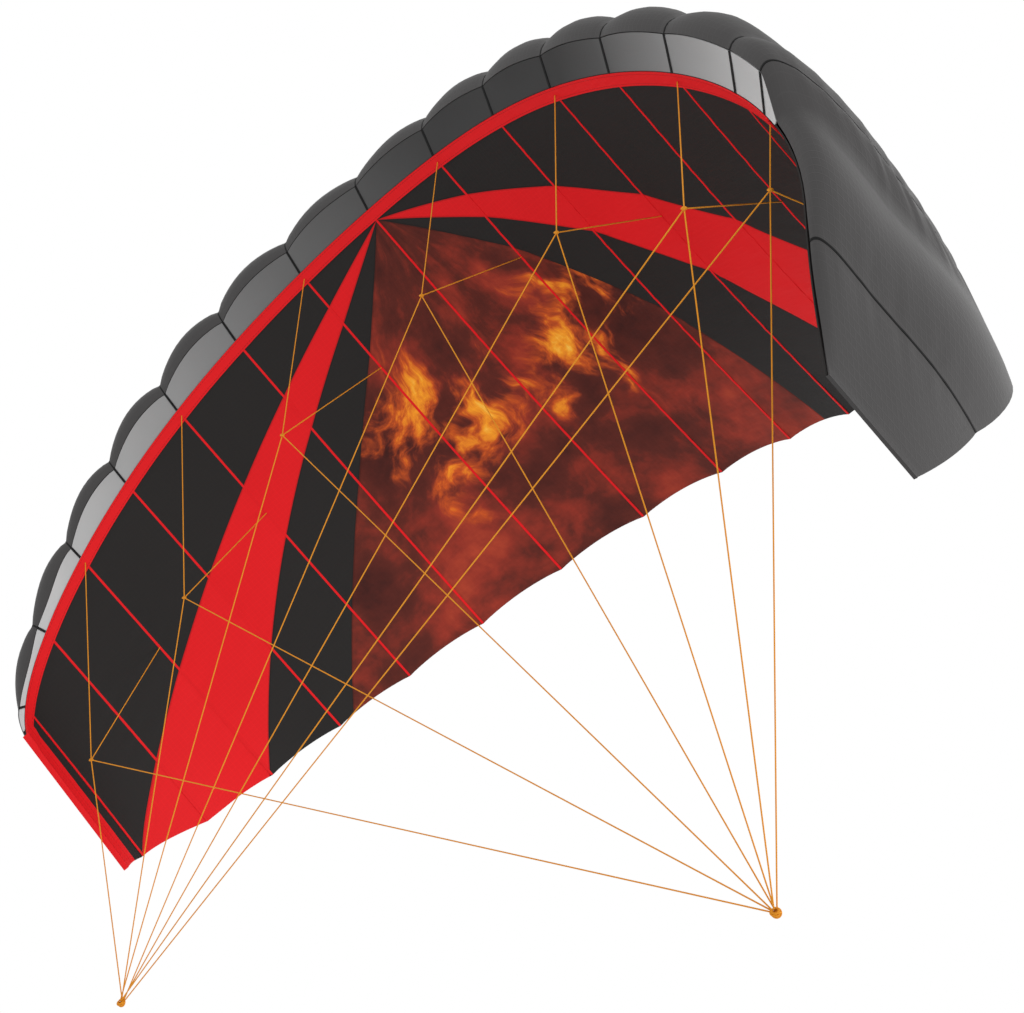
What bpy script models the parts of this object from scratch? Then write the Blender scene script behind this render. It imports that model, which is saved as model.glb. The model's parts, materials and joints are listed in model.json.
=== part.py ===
"""Stunt kite: a two-line ram-air foil of seventeen cells, arched in flight on its bridle.

The wing is drawn about its centre rib: X runs along the span, Y from the leading edge to the
trailing edge, Z up. The origin of the kite is midway between its two tow points.
"""

import math

import bmesh
import bpy
import numpy as np
from mathutils import Matrix, Vector

# Wing plan, in metres. Arc lengths run along the arched leading edge from the centre rib.
CENTRE_PITCH = 0.1045
PITCH_LOSS = 0.00236
LEFT_TIP_ARC = -0.6385
RIGHT_TIP_ARC = 0.7574
LAST_LEFT_RIB = -7
LAST_RIGHT_RIB = 8
END_RIB_ARCS = {-7: -0.6098, -6: -0.5383, 7: 0.58, 8: 0.6873}
RIGHT_TIP_SWEEP = -0.0091
CLOSED_FRONT_RUN = 0.016

# The arch and the plan as powers of the span share, which is 1 at the arc length SHARE_ARC.
SHARE_ARC = 0.6658
ARCH_DEGREES = {1: 101.4, 3: -140.0, 5: 147.1}
LEFT_END_TURN = {7: 34.7}
RIGHT_END_TURN = {7: -7.6}
LIP_SWEEP = {2: 0.1457, 4: 0.0534}
EDGE_SWEEP = {0: 0.4190, 2: -0.0586, 4: -0.0057}
EDGE_RISE = {0: 0.0428, 2: -0.0293}
LEFT_END_TRIM = (-0.018, 0.77, 0.18)
RIGHT_END_TRIM = (0.0141, 0.794, 0.252)
NOSE_RISE = {0: 0.0101, 2: 0.0063}
ARCH_STEPS = 400

# Attitude in flight: the wing's nose-down turn about X, and its centre lip above the tow points.
NOSE_DOWN = math.radians(29.5)
WING_PLACE = Vector((0.0, -0.082, 0.736))

# Section, in metres or as shares of the chord.
LIP_FORWARD = 0.0259
LEFT_LIP_LOSS = 0.9
LEFT_LIP_BULGE = 0.005
CLOTH = 0.0012
SEAM_GAP = 0.0003
SKIN_PARTING = 2 * CLOTH + SEAM_GAP
THICKNESS_SHARE = 0.16
CREST_SHARE = 0.27
BELLY_SHARE = 0.012
NOSE_PULL = np.array((-0.075, 0.085))
NOSE_PULL_AT_TIP = 0.3
LEFT_NOSE_PULL = -0.04
LEFT_NOSE_PULL_RUN = 0.3
LEFT_NOSE_CURL = (0.6, 0.65, 0.20)
CURL_REACH = 0.8
CREST_PULL_FRONT = 0.17
CREST_PULL_BACK = 0.24
EDGE_PULL = 0.33
EDGE_SLOPE = 0.30

# Billow: depth as a share of the cell's width, and how round the bulge is across the cell.
UPPER_BILLOW_SHARE = 0.12
LOWER_BILLOW_SHARE = 0.05
RIGHT_TIP_BILLOW_WIDTH = 0.03
RIGHT_TIP_FLAT = (0.50, 0.027)
BULGE_POWER = 0.8
EDGE_WAVE = 0.0025
EDGE_SCALLOP = 0.004
RIGHT_TIP_SCALLOP = -0.003
TIP_CLOSING_POWER = 10

# Grid of the skins.
STEPS_PER_CELL = 4
NOSE_STEPS = 6
BACK_STEPS = 8
LOWER_STEPS = 8

# Trim.
BAND_WIDTH = 0.0125
BAND_THICKNESS = 0.001
TRIM_GAP = 0.00035
LEFT_TIP_COLUMNS = 3
RIGHT_TIP_COLUMNS = 2
BAND_END_SHARE = 0.02
GAUZE_THICKNESS = 0.001
GAUZE_LIP_GAP = 0.0016
GAUZE_NOSE_GAP = 0.0020
GAUZE_LEAST_HEIGHT = 0.0065
RIB_THICKNESS = 0.0012
RIB_INSET = 0.0018
RIB_REAR_SHARE = 0.93
RIB_FRONT_SHARE = 0.02
RIB_FOOT_STEPS = 8

# Bridle, in metres.
LINE_RADIUS = 0.0005
KNOT_RADIUS = 0.002
KNOT_TURN_DEPTH = 0.06
TOW_KNOT_RADIUS = 0.0034
TOW_ROW_PITCH = 0.0013
TOW_ROWS = 3
LINE_GAP = 0.0003
FRONT_FOOT = 0.007
SEAT_STEP = 0.01
TOW_POINTS = {
    "left": Vector((-0.295, -0.041, 0.043)),
    "right": Vector((0.295, 0.041, -0.043)),
}
# Rib, then its junction's place (x, y, z), then the rear leg's foot as a share of the chord.
BRIDLE = (
    (-5, -0.396, -0.059, 0.299, 0.40),
    (-3, -0.270, -0.060, 0.422, 0.37),
    (-1, -0.107, -0.078, 0.513, 0.30),
    (1, 0.108, -0.096, 0.520, 0.30),
    (3, 0.281, -0.112, 0.441, 0.37),
    (5, 0.417, -0.139, 0.327, 0.40),
    (7, 0.448, -0.086, 0.363, 0.42),
)

# How far a cell's bulge is felt from the front (0) to the back (1) of the upper skin.
UPPER_BILLOW = (
    # place, share of the bulge
    (0.0, 0.40),
    (0.15, 1.0),
    (0.5, 0.85),
    (0.8, 0.5),
    (1.0, 0.0),
)

# Finish: colour (linear RGB), roughness, metallic.
UPPER_CLOTH = ((0.045, 0.042, 0.042), 0.55, 0.0)
LOWER_CLOTH = ((0.022, 0.020, 0.020), 0.55, 0.0)
RED_CLOTH = ((0.75, 0.012, 0.018), 0.55, 0.0)
RIB_CLOTH = ((0.020, 0.020, 0.020), 0.60, 0.0)
GAUZE = ((0.30, 0.30, 0.31), 0.70, 0.0)
CORD = ((0.72, 0.30, 0.045), 0.60, 0.0)


def clear_scene():
    """Remove everything that the scene starts with."""
    for obj in list(bpy.data.objects):
        bpy.data.objects.remove(obj, do_unlink=True)


def make_material(name, finish):
    """A Principled material with the given colour, roughness and metallic value."""
    colour, roughness, metallic = finish
    material = bpy.data.materials.new(name)
    material.use_nodes = True
    shader = material.node_tree.nodes["Principled BSDF"]
    shader.inputs["Base Color"].default_value = (*colour, 1.0)
    shader.inputs["Roughness"].default_value = roughness
    shader.inputs["Metallic"].default_value = metallic
    return material


# ---------------------------------------------------------------- the wing's form


def polynomial(factors, share):
    """Sum of each factor times the share raised to the factor's power."""
    return sum(factor * share**power for power, factor in factors.items())


def ease(share):
    """Smooth rise from 0 at a share of 0 to 1 at a share of 1."""
    share = min(max(share, 0.0), 1.0)
    return share * share * (3.0 - 2.0 * share)


def arch_angle(share, end_turn):
    """Fall of the wing's line, in radians, which stays the same past a span share of 1."""
    share = np.minimum(np.abs(share), 1.0)
    return np.radians(polynomial(ARCH_DEGREES, share) + polynomial(end_turn, share))


def arch_frame(arc):
    """Point of the arch at an arc length from the centre, and the outward normal there."""
    side = -1.0 if arc < 0 else 1.0
    end_turn = LEFT_END_TURN if arc < 0 else RIGHT_END_TURN
    length = abs(arc) / ARCH_STEPS
    angles = arch_angle((np.arange(ARCH_STEPS) + 0.5) * length / SHARE_ARC, end_turn)
    across = float(np.cos(angles).sum()) * length
    fall = float(np.sin(angles).sum()) * length
    end = float(arch_angle(arc / SHARE_ARC, end_turn))
    return Vector((side * across, 0.0, -fall)), Vector((side * math.sin(end), 0.0, math.cos(end)))


def rib_arc(rib):
    """Arc length from the centre rib to a rib or, past the last rib, to that side's tip edge."""
    if rib < LAST_LEFT_RIB:
        return LEFT_TIP_ARC
    if rib > LAST_RIGHT_RIB:
        return RIGHT_TIP_ARC
    return END_RIB_ARCS.get(rib, rib * (CENTRE_PITCH - PITCH_LOSS * abs(rib)))


def span_stations():
    """Every spanwise station as (arc, cell width, place in the cell from 0 to 1)."""
    stations = []
    for rib in range(LAST_LEFT_RIB - 1, LAST_RIGHT_RIB + 1):
        start, end = rib_arc(rib), rib_arc(rib + 1)
        places = [step / STEPS_PER_CELL for step in range(STEPS_PER_CELL)]
        if rib == LAST_RIGHT_RIB - 1:
            places.insert(1, CLOSED_FRONT_RUN / (end - start))
        for place in places:
            stations.append((start + (end - start) * place, end - start, place))
    stations.append((RIGHT_TIP_ARC, 0.0, 0.0))
    return stations


def tip_closing(arc):
    """1 over most of the span, falling to 0 where the two skins are sewn together at a tip."""
    tip = RIGHT_TIP_ARC if arc > 0 else LEFT_TIP_ARC
    return 1.0 - (arc / tip) ** TIP_CLOSING_POWER


class Section:
    """The wing's section at one station, in its own plane: Y along the chord and N outward."""

    def __init__(self, arc, cell_width=0.0, place=0.0):
        share = arc / SHARE_ARC
        left = max(0.0, -share)
        self.bulge = math.sin(math.pi * place) ** BULGE_POWER
        self.closing = tip_closing(arc)
        last_open = rib_arc(LAST_RIGHT_RIB - 1)
        lip_y = polynomial(LIP_SWEEP, share)
        lip_y += RIGHT_TIP_SWEEP * ease((arc - last_open) / (RIGHT_TIP_ARC - last_open))
        trim, start, run = LEFT_END_TRIM if arc < 0 else RIGHT_END_TRIM
        edge_y = polynomial(EDGE_SWEEP, share) + trim * ease((abs(share) - start) / run)
        edge_n = polynomial(EDGE_RISE, share)
        wave = self.bulge * min(1.0, cell_width / CENTRE_PITCH)
        scallop = RIGHT_TIP_SCALLOP if arc > last_open else EDGE_SCALLOP
        self.lip = np.array((lip_y, 0.0))
        self.edge = np.array((edge_y - scallop * wave, edge_n + EDGE_WAVE * wave))
        self.chord = edge_y - lip_y
        past = max(0.0, arc - last_open)
        flat, flat_run = RIGHT_TIP_FLAT
        self.billow_width = (RIGHT_TIP_BILLOW_WIDTH if past else cell_width) * self.closing * self.bulge
        self.crest_rise = THICKNESS_SHARE * self.chord * self.closing * (1.0 - flat * ease(past / flat_run))
        self.open = self.closing * (1.0 - ease((arc - last_open) / CLOSED_FRONT_RUN))
        self.nose_pull = NOSE_PULL + np.array((LEFT_NOSE_PULL * min(1.0, left / LEFT_NOSE_PULL_RUN), 0.0))
        forward = LIP_FORWARD * (1.0 - LEFT_LIP_LOSS * left * left)
        forward += LEFT_LIP_BULGE * self.bulge * min(1.0, left / LEFT_NOSE_PULL_RUN)
        upper_n = SKIN_PARTING + (polynomial(NOSE_RISE, share) - SKIN_PARTING) * self.open
        rise = np.array((-forward * self.open, upper_n))
        curl, curl_start, curl_run = LEFT_NOSE_CURL
        curl *= self.bulge * ease((left - curl_start) / curl_run) if arc > rib_arc(LAST_LEFT_RIB) else 0.0
        self.nose = self.lip + rise * (1.0 - curl)
        self.nose_reach = self.lip + rise * (1.0 + CURL_REACH * curl)

    def lower(self, places):
        """Outer line of the lower skin at shares of the chord, 0 at the lip."""
        u = np.asarray(places, float)
        points = self.lip + u[:, None] * (self.edge - self.lip)
        belly = BELLY_SHARE * self.chord * self.closing * np.sin(np.pi * u)
        billow = LOWER_BILLOW_SHARE * self.billow_width * np.sin(np.pi * u)
        points[:, 1] -= belly + billow
        return points

    def upper_rib_line(self):
        """Outer line of the upper skin on a rib, from the upper lip to the trailing edge."""
        chord = self.chord
        crest = self.lip + CREST_SHARE * (self.edge - self.lip)
        crest[1] += self.crest_rise + SKIN_PARTING
        end = self.edge + np.array((0.0, SKIN_PARTING))
        nose_pull = self.nose_reach + chord * self.closing * self.nose_pull
        nose_pull += (1.0 - self.closing) * NOSE_PULL_AT_TIP * (crest - self.nose)
        lean = (1.0 - self.closing) * (self.edge - self.lip)[1] / chord
        crest_front = crest - CREST_PULL_FRONT * chord * np.array((1.0, lean))
        crest_back = crest + CREST_PULL_BACK * chord * np.array((1.0, lean))
        edge_pull = end - EDGE_PULL * chord * np.array((1.0, lean - EDGE_SLOPE * self.closing))
        front = bezier(self.nose, nose_pull, crest_front, crest, NOSE_STEPS)
        back = bezier(crest, crest_back, edge_pull, end, BACK_STEPS)
        return np.vstack((front, back[1:]))

    def upper(self):
        """Outer line of the upper skin at this station, with the cell's bulge."""
        line = self.upper_rib_line()
        reach = np.linspace(0.0, 1.0, len(line))
        share = np.interp(reach, [row[0] for row in UPPER_BILLOW], [row[1] for row in UPPER_BILLOW])
        return line + outward(line) * (UPPER_BILLOW_SHARE * self.billow_width * share)[:, None]


def bezier(start, pull_a, pull_b, end, steps):
    """Points along a cubic Bezier curve, both ends included."""
    t = np.linspace(0.0, 1.0, steps + 1)[:, None]
    rest = 1.0 - t
    return rest**3 * start + 3 * rest**2 * t * pull_a + 3 * rest * t**2 * pull_b + t**3 * end


def outward(line):
    """Unit normals on the outer side of a line that runs from the front over the top."""
    along = np.gradient(line, axis=0)
    along /= np.linalg.norm(along, axis=1)[:, None]
    return np.column_stack((-along[:, 1], along[:, 0]))


def wing_point(arc, flat):
    """Place a point (y, n) of the section at an arc length into the wing's frame."""
    base, normal = arch_frame(arc)
    return base + Vector((0.0, float(flat[0]), 0.0)) + normal * float(flat[1])


def wing_attitude():
    """Matrix from the wing's frame to the kite's."""
    return Matrix.Translation(WING_PLACE) @ Matrix.Rotation(-NOSE_DOWN, 4, "X")


# ---------------------------------------------------------------- making objects


def add_object(name, data, material, parent=None):
    """Link a new object with one material to the scene, under its parent."""
    data.materials.append(material)
    obj = bpy.data.objects.new(name, data)
    bpy.context.scene.collection.objects.link(obj)
    obj.parent = parent
    return obj


def sheet(name, columns, thickness, offset, material, parent):
    """A cloth panel from equal columns of points, thickened by a Solidify modifier."""
    rows = len(columns[0])
    points = [tuple(point) for column in columns for point in column]
    faces = []
    for column in range(len(columns) - 1):
        for row in range(rows - 1):
            corner = column * rows + row
            faces.append((corner, corner + rows, corner + rows + 1, corner + 1))
    mesh = bpy.data.meshes.new(name)
    mesh.from_pydata(points, [], faces)
    mesh.shade_smooth()
    mesh.set_sharp_from_angle(angle=math.radians(50))
    obj = add_object(name, mesh, material, parent)
    solidify = obj.modifiers.new("cloth thickness", "SOLIDIFY")
    solidify.thickness = thickness
    solidify.offset = offset
    solidify.use_even_offset = True
    return obj


def lifted(columns, distance):
    """The same panel moved along its own point normals, towards its outer side."""
    grid = np.array([[tuple(point) for point in column] for column in columns])
    across = np.gradient(grid, axis=0)
    along = np.gradient(grid, axis=1)
    normals = np.cross(across, along)
    normals /= np.linalg.norm(normals, axis=2)[:, :, None]
    return grid + normals * distance


# ---------------------------------------------------------------- skins, bands, gauze, ribs


def upper_columns():
    """Columns of the upper skin's outer face, left tip to right tip."""
    columns = []
    for arc, width, place in span_stations():
        line = Section(arc, width, place).upper()
        columns.append([wing_point(arc, flat) for flat in line])
    return columns


def lower_shares(chord):
    """Shares of the chord of the lower skin's rows: the lip, the band's edge, then even steps."""
    first = BAND_WIDTH / chord
    return [0.0] + list(np.linspace(first, 1.0, LOWER_STEPS + 1))


def lower_columns():
    """Columns of the lower skin's outer face, from the trailing edge to the lip in each."""
    columns = []
    for arc, width, place in span_stations():
        section = Section(arc, width, place)
        line = section.lower(lower_shares(section.chord))
        columns.append([wing_point(arc, flat) for flat in line[::-1]])
    return columns


def make_bands(columns, material, parent):
    """Red binding on the outer face of the lower skin: both tips, and the front edge while open."""
    band = lifted(columns, TRIM_GAP)
    open_count = sum(arc <= rib_arc(LAST_RIGHT_RIB - 1) for arc, _, _ in span_stations())
    sheet("leading_edge_band", band[: open_count + 1, -2:], BAND_THICKNESS, 1.0, material, parent)
    tips = {"left": band[:LEFT_TIP_COLUMNS], "right": band[-RIGHT_TIP_COLUMNS:]}
    for side, part in tips.items():
        ends = [column[-2] + (column[-3] - column[-2]) * BAND_END_SHARE for column in part]
        strip = [np.vstack((column[:-2], end)) for column, end in zip(part, ends)]
        sheet(f"tip_band_{side}", strip, BAND_THICKNESS, 1.0, material, parent)


def make_gauze(material, parent):
    """The strip of gauze that closes the air intakes between the two lips."""
    columns = []
    for arc, width, place in span_stations():
        section = Section(arc, width, place)
        low = section.lip
        high = section.upper()[0]
        height = np.linalg.norm(high - low)
        if height < GAUZE_LEAST_HEIGHT:
            continue
        shares = (GAUZE_LIP_GAP / height, 0.5, 1.0 - GAUZE_NOSE_GAP / height)
        columns.append([wing_point(arc, low + (high - low) * share) for share in shares])
    return sheet("intake_gauze", columns, GAUZE_THICKNESS, -1.0, material, parent)


def rib_name(rib):
    """Node name of a rib: centre, or its side and its number from the centre."""
    if rib == 0:
        return "rib_centre"
    return f"rib_{'left' if rib < 0 else 'right'}_{abs(rib)}"


def rib_inset(rib):
    """How far a rib's edge stays inside the skins' outer faces, more where they turn in beside it."""
    arc = rib_arc(rib)
    here, ahead, behind = (Section(arc + shift) for shift in (0.0, RIB_THICKNESS, -RIB_THICKNESS))
    step = CLOSED_FRONT_RUN if rib == LAST_RIGHT_RIB - 1 else (rib_arc(rib + 1) - arc) / STEPS_PER_CELL
    beside = Section(arc + step)
    turn_in = np.linalg.norm((beside.nose - beside.lip) - (here.nose - here.lip)) / step
    return RIB_INSET + abs(ahead.crest_rise - behind.crest_rise) + RIB_THICKNESS * turn_in


def front_corner(section, skin_outward, inset):
    """Offset from the upper lip to a rib's top front corner, inside both the skin and the gauze."""
    rise = section.nose - section.lip
    rise /= np.linalg.norm(rise)
    gauze_inward = np.array((rise[1], -rise[0]))
    return np.linalg.solve(np.array((gauze_inward, -skin_outward)), np.array((inset, inset)))


def make_rib(rib, material, parent):
    """One profile rib: a flat plate standing between the skins behind the gauze."""
    arc = rib_arc(rib)
    section = Section(arc)
    upper = section.upper_rib_line()
    inset = rib_inset(rib)
    inner = upper - outward(upper) * inset
    inner[0] = upper[0] + front_corner(section, outward(upper)[0], inset)
    rear = section.lip[0] + RIB_REAR_SHARE * section.chord
    top = [point for point in inner if point[0] < rear]
    bottom = section.lower(np.linspace(RIB_FRONT_SHARE, RIB_REAR_SHARE, RIB_FOOT_STEPS + 1))
    bottom[:, 1] += inset
    outline = [*bottom, *top[::-1]]
    points = [tuple(wing_point(arc, flat)) for flat in outline]
    mesh = bpy.data.meshes.new(rib_name(rib))
    mesh.from_pydata(points, [], [tuple(range(len(points)))])
    obj = add_object(rib_name(rib), mesh, material, parent)
    solidify = obj.modifiers.new("cloth thickness", "SOLIDIFY")
    solidify.thickness = RIB_THICKNESS
    solidify.offset = 0.0
    return obj


# ---------------------------------------------------------------- bridle


def lower_seat(rib, share):
    """Point on the lower skin's outer face at a rib, and the direction away from the cloth."""
    arc = rib_arc(rib)
    section = Section(arc)
    line = section.lower([share - SEAT_STEP, share, share + SEAT_STEP])
    along = line[2] - line[0]
    along /= np.linalg.norm(along)
    base, normal = arch_frame(arc)
    away = Vector((0.0, float(along[1]), 0.0)) - normal * float(along[0])
    attitude = wing_attitude()
    return attitude @ wing_point(arc, line[1]), (attitude.to_3x3() @ away).normalized()


def foot_on_cloth(rib, share, target, cover):
    """End of a line that comes from the target and stops just clear of the cloth."""
    seat, away = lower_seat(rib, share)
    facing = (target - seat).normalized().dot(away)
    lean = math.sqrt(max(0.0, 1.0 - facing * facing))
    return seat + away * (cover + LINE_GAP + LINE_RADIUS * lean)


def make_line(name, start, end, material):
    """One taut bridle line between two points."""
    curve = bpy.data.curves.new(name, "CURVE")
    curve.dimensions = "3D"
    curve.bevel_depth = LINE_RADIUS
    curve.bevel_resolution = 2
    curve.use_fill_caps = True
    spline = curve.splines.new("POLY")
    spline.points.add(1)
    spline.points[0].co = (*start, 1.0)
    spline.points[1].co = (*end, 1.0)
    return add_object(name, curve, material)


def make_knot(name, centre, radius, material):
    """A tied knot: a ball with shallow turns of cord across it, never past its radius."""
    ball = bmesh.new()
    bmesh.ops.create_icosphere(ball, subdivisions=2, radius=1.0)
    for vert in ball.verts:
        turn = math.sin(5.0 * vert.co.x + 3.0 * vert.co.z) * math.cos(4.0 * vert.co.y)
        vert.co *= radius * (1.0 - KNOT_TURN_DEPTH + KNOT_TURN_DEPTH * turn)
    mesh = bpy.data.meshes.new(name)
    ball.to_mesh(mesh)
    ball.free()
    mesh.shade_smooth()
    obj = add_object(name, mesh, material)
    obj.location = centre
    return obj


def rib_label(rib):
    """Short label of a rib in the bridle's names, such as left_3."""
    return rib_name(rib).removeprefix("rib_")


def make_bridle(material):
    """Seven junctions, each with a front leg, a rear leg and one line to each tow point."""
    for side, tow in TOW_POINTS.items():
        make_knot(f"tow_knot_{side}", tow, TOW_KNOT_RADIUS, material)
    for order, (rib, x, y, z, rear_share) in enumerate(BRIDLE):
        label = rib_label(rib)
        junction = Vector((x, y, z))
        make_knot(f"junction_knot_{label}", junction, KNOT_RADIUS, material)
        chord = Section(rib_arc(rib)).chord
        front = foot_on_cloth(rib, FRONT_FOOT / chord, junction, TRIM_GAP + BAND_THICKNESS)
        rear = foot_on_cloth(rib, rear_share, junction, 0.0)
        clear = KNOT_RADIUS + LINE_GAP
        for leg, foot in (("front_leg", front), ("rear_leg", rear)):
            start = junction + (foot - junction).normalized() * clear
            make_line(f"{leg}_{label}", start, foot, material)
        for side, tow in TOW_POINTS.items():
            row = TOW_ROW_PITCH * (1 - order % TOW_ROWS)
            slot = tow + Vector((0.0, row, 0.0))
            start = junction + (slot - junction).normalized() * clear
            end = slot + (junction - slot).normalized() * (TOW_KNOT_RADIUS + LINE_GAP)
            make_line(f"main_line_{label}_to_{side}", start, end, material)


# ---------------------------------------------------------------- the kite


def main():
    """Build the kite."""
    clear_scene()
    attitude = bpy.data.objects.new("wing_attitude", None)
    bpy.context.scene.collection.objects.link(attitude)
    attitude.location = WING_PLACE
    attitude.rotation_euler = (-NOSE_DOWN, 0.0, 0.0)
    upper_cloth = make_material("upper_cloth", UPPER_CLOTH)
    lower_cloth = make_material("lower_cloth", LOWER_CLOTH)
    sheet("upper_skin", upper_columns(), CLOTH, -1.0, upper_cloth, attitude)
    lower = lower_columns()
    sheet("lower_skin", lower, CLOTH, -1.0, lower_cloth, attitude)
    make_bands(lower, make_material("red_cloth", RED_CLOTH), attitude)
    make_gauze(make_material("gauze", GAUZE), attitude)
    rib_material = make_material("rib_cloth", RIB_CLOTH)
    for rib in range(LAST_LEFT_RIB, LAST_RIGHT_RIB + 1):
        make_rib(rib, rib_material, attitude)
    make_bridle(make_material("bridle_cord", CORD))


main()
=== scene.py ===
"""Stunt kite: the finished look of a two-line ram-air foil in flight, built around its CAD frame.

The wing's own frame has X along the span, Y from the leading to the trailing edge and Z up.
The kite's frame turns it nose down and has its origin midway between the two tow points.
"""

from __future__ import annotations

import json
import logging
import math
from collections.abc import Callable, Iterable
from dataclasses import dataclass, field
from enum import Enum

import bpy
import numpy as np
from bpy.types import Material, Node, NodeSocket, NodeTree, Object
from mathutils import Matrix, Vector
from numpy.polynomial.polynomial import polyval

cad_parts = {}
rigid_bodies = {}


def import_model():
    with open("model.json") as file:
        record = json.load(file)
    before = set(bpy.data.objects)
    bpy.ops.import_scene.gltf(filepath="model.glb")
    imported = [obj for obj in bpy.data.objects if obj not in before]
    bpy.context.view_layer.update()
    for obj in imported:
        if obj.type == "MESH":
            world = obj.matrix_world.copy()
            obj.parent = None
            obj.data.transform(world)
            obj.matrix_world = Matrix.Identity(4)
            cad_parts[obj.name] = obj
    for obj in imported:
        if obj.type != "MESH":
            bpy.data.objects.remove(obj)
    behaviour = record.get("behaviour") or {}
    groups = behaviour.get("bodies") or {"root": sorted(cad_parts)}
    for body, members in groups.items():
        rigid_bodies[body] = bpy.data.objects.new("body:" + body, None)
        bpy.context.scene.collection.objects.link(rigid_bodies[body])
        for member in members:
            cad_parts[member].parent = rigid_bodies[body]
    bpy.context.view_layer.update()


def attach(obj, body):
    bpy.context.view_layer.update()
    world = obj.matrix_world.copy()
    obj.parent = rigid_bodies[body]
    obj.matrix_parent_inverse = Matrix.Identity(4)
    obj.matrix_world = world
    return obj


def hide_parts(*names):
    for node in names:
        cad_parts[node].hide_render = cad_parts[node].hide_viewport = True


Array = np.ndarray
Pair = tuple[Array, Array]
Triple = tuple[float, float, float]

LOG = logging.getLogger("stunt_kite")
# Faces that meet at more than this are shaded with a crease.
CLOTH_CREASE = math.radians(50)
CORD_CREASE = math.radians(60)


# ---------------------------------------------------------------- the wing's form


def bezier(ends: tuple, pulls: tuple, steps: int) -> Array:
    """Points along a cubic Bezier curve.

    Args:
        ends: First and last point.
        pulls: The two control points between them.
        steps: Number of equal steps.

    Returns:
        steps + 1 points, both ends included.
    """
    t = np.linspace(0.0, 1.0, steps + 1)[:, None]
    r = 1.0 - t
    return r**3 * ends[0] + 3 * r**2 * t * pulls[0] + 3 * r * t**2 * pulls[1] + t**3 * ends[1]


def ease(share: float) -> float:
    """Smooth rise from 0 at a share of 0 to 1 at a share of 1."""
    share = min(max(share, 0.0), 1.0)
    return share * share * (3.0 - 2.0 * share)


def outward(line: Array) -> Array:
    """Unit normals on the outer side of a section line that runs from the front over the top.

    Args:
        line: The line's points.

    Returns:
        One unit vector a point.
    """
    along = np.gradient(line, axis=0)
    along /= np.linalg.norm(along, axis=1)[:, None]
    return np.column_stack((-along[:, 1], along[:, 0]))


def run_along(line: Array) -> Array:
    """Distance of each point of a line from the first one, measured along the line."""
    return np.concatenate(((0.0,), np.cumsum(np.linalg.norm(np.diff(line, axis=0), axis=1))))


@dataclass(frozen=True)
class Station:
    """One place along the span: arc length, width of its cell and place across that cell."""

    arc: float
    width: float = 0.0
    place: float = 0.0


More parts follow.
